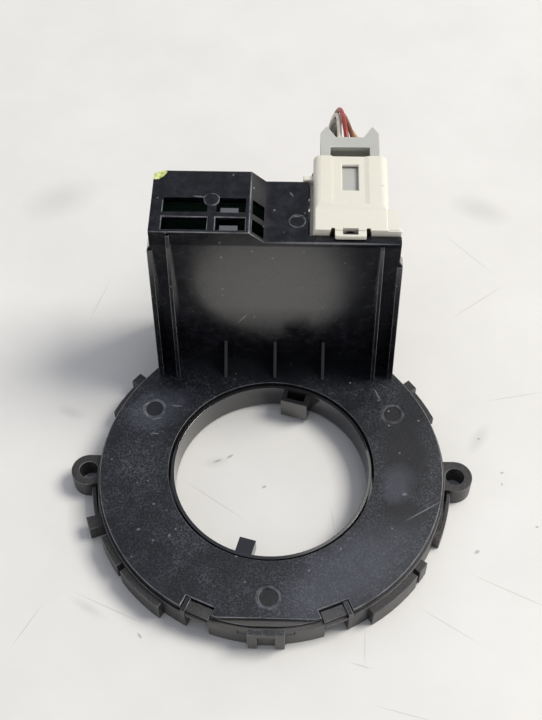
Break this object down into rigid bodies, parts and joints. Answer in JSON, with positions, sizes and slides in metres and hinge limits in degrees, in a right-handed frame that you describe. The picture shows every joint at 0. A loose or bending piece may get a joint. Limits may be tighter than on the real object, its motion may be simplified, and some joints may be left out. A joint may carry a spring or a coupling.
{
  "type": "steering angle sensor",
  "caption": "Ring-shaped steering angle sensor with a slotted rotor in its bore, an upright electronics tower behind it and a short cut harness plugged into the tower.",
  "frame": {"origin": "on the steering column's axis, in the plane of the casing's underside", "axes": "+Z along the column axis, out of the cover's face; +Y from the column axis to the electronics tower; +X to the side of the tower that carries the connector"},
  "size_m": [0.106, 0.1455, 0.0607],
  "materials": {
    "black_pbt": "gloss",
    "ivory_pbt": "satin",
    "grey_plug_plastic": "satin",
    "black_pom": "satin",
    "natural_pom": "satin",
    "ferrite": "matte",
    "circuit_board": "satin",
    "chip_epoxy": "matte",
    "aluminium_can": "satin",
    "tinned_brass": "satin",
    "black_insulation": "satin",
    "white_insulation": "satin",
    "red_insulation": "satin",
    "brown_insulation": "satin",
    "tan_insulation": "satin"
  },
  "bodies": {
    "casing": {"lower_casing": "black_pbt", "upper_casing": "black_pbt", "tower_back_cover": "black_pbt", "sensor_chip_a": "chip_epoxy", "sensor_chip_b": "chip_epoxy", "sensor_board": "circuit_board", "main_board": "circuit_board", "processor": "chip_epoxy", "regulator": "chip_epoxy", "bus_transceiver": "chip_epoxy", "buffer_capacitor_a": "aluminium_can", "buffer_capacitor_b": "aluminium_can", "board_link": "tinned_brass", "connector_housing": "ivory_pbt", "plug_housing": "grey_plug_plastic", "terminal_1": "tinned_brass", "terminal_2": "tinned_brass", "terminal_3": "tinned_brass", "terminal_4": "tinned_brass", "terminal_5": "tinned_brass", "plug_contact_1": "tinned_brass", "plug_contact_2": "tinned_brass", "plug_contact_3": "tinned_brass", "plug_contact_4": "tinned_brass", "plug_contact_5": "tinned_brass", "wire_black": "black_insulation", "wire_white": "white_insulation", "wire_red": "red_insulation", "wire_brown": "brown_insulation", "wire_tan": "tan_insulation"},
    "rotor": {"rotor_ring": "black_pom"},
    "gear_a": {"detection_gear_a": "natural_pom", "magnet_a": "ferrite"},
    "gear_b": {"detection_gear_b": "natural_pom", "magnet_b": "ferrite"}
  },
  "joints": [
    {"name": "rotor_spin", "type": "hinge", "parent": "casing", "child": "rotor", "pos_m": [0, 0, 0], "axis": [0, 0, 1], "continuous": true},
    {"name": "gear_a_spin", "type": "hinge", "parent": "casing", "child": "gear_a", "pos_m": [-0.01252, 0.03852, 0], "axis": [0, 0, 1], "continuous": true},
    {"name": "gear_b_spin", "type": "hinge", "parent": "casing", "child": "gear_b", "pos_m": [0.01236, 0.03804, 0], "axis": [0, 0, 1], "continuous": true}
  ],
  "couplings": [
    {"joint": "gear_a_spin", "follows": "rotor_spin", "ratio": -2.8571},
    {"joint": "gear_b_spin", "follows": "rotor_spin", "ratio": -3}
  ]
}
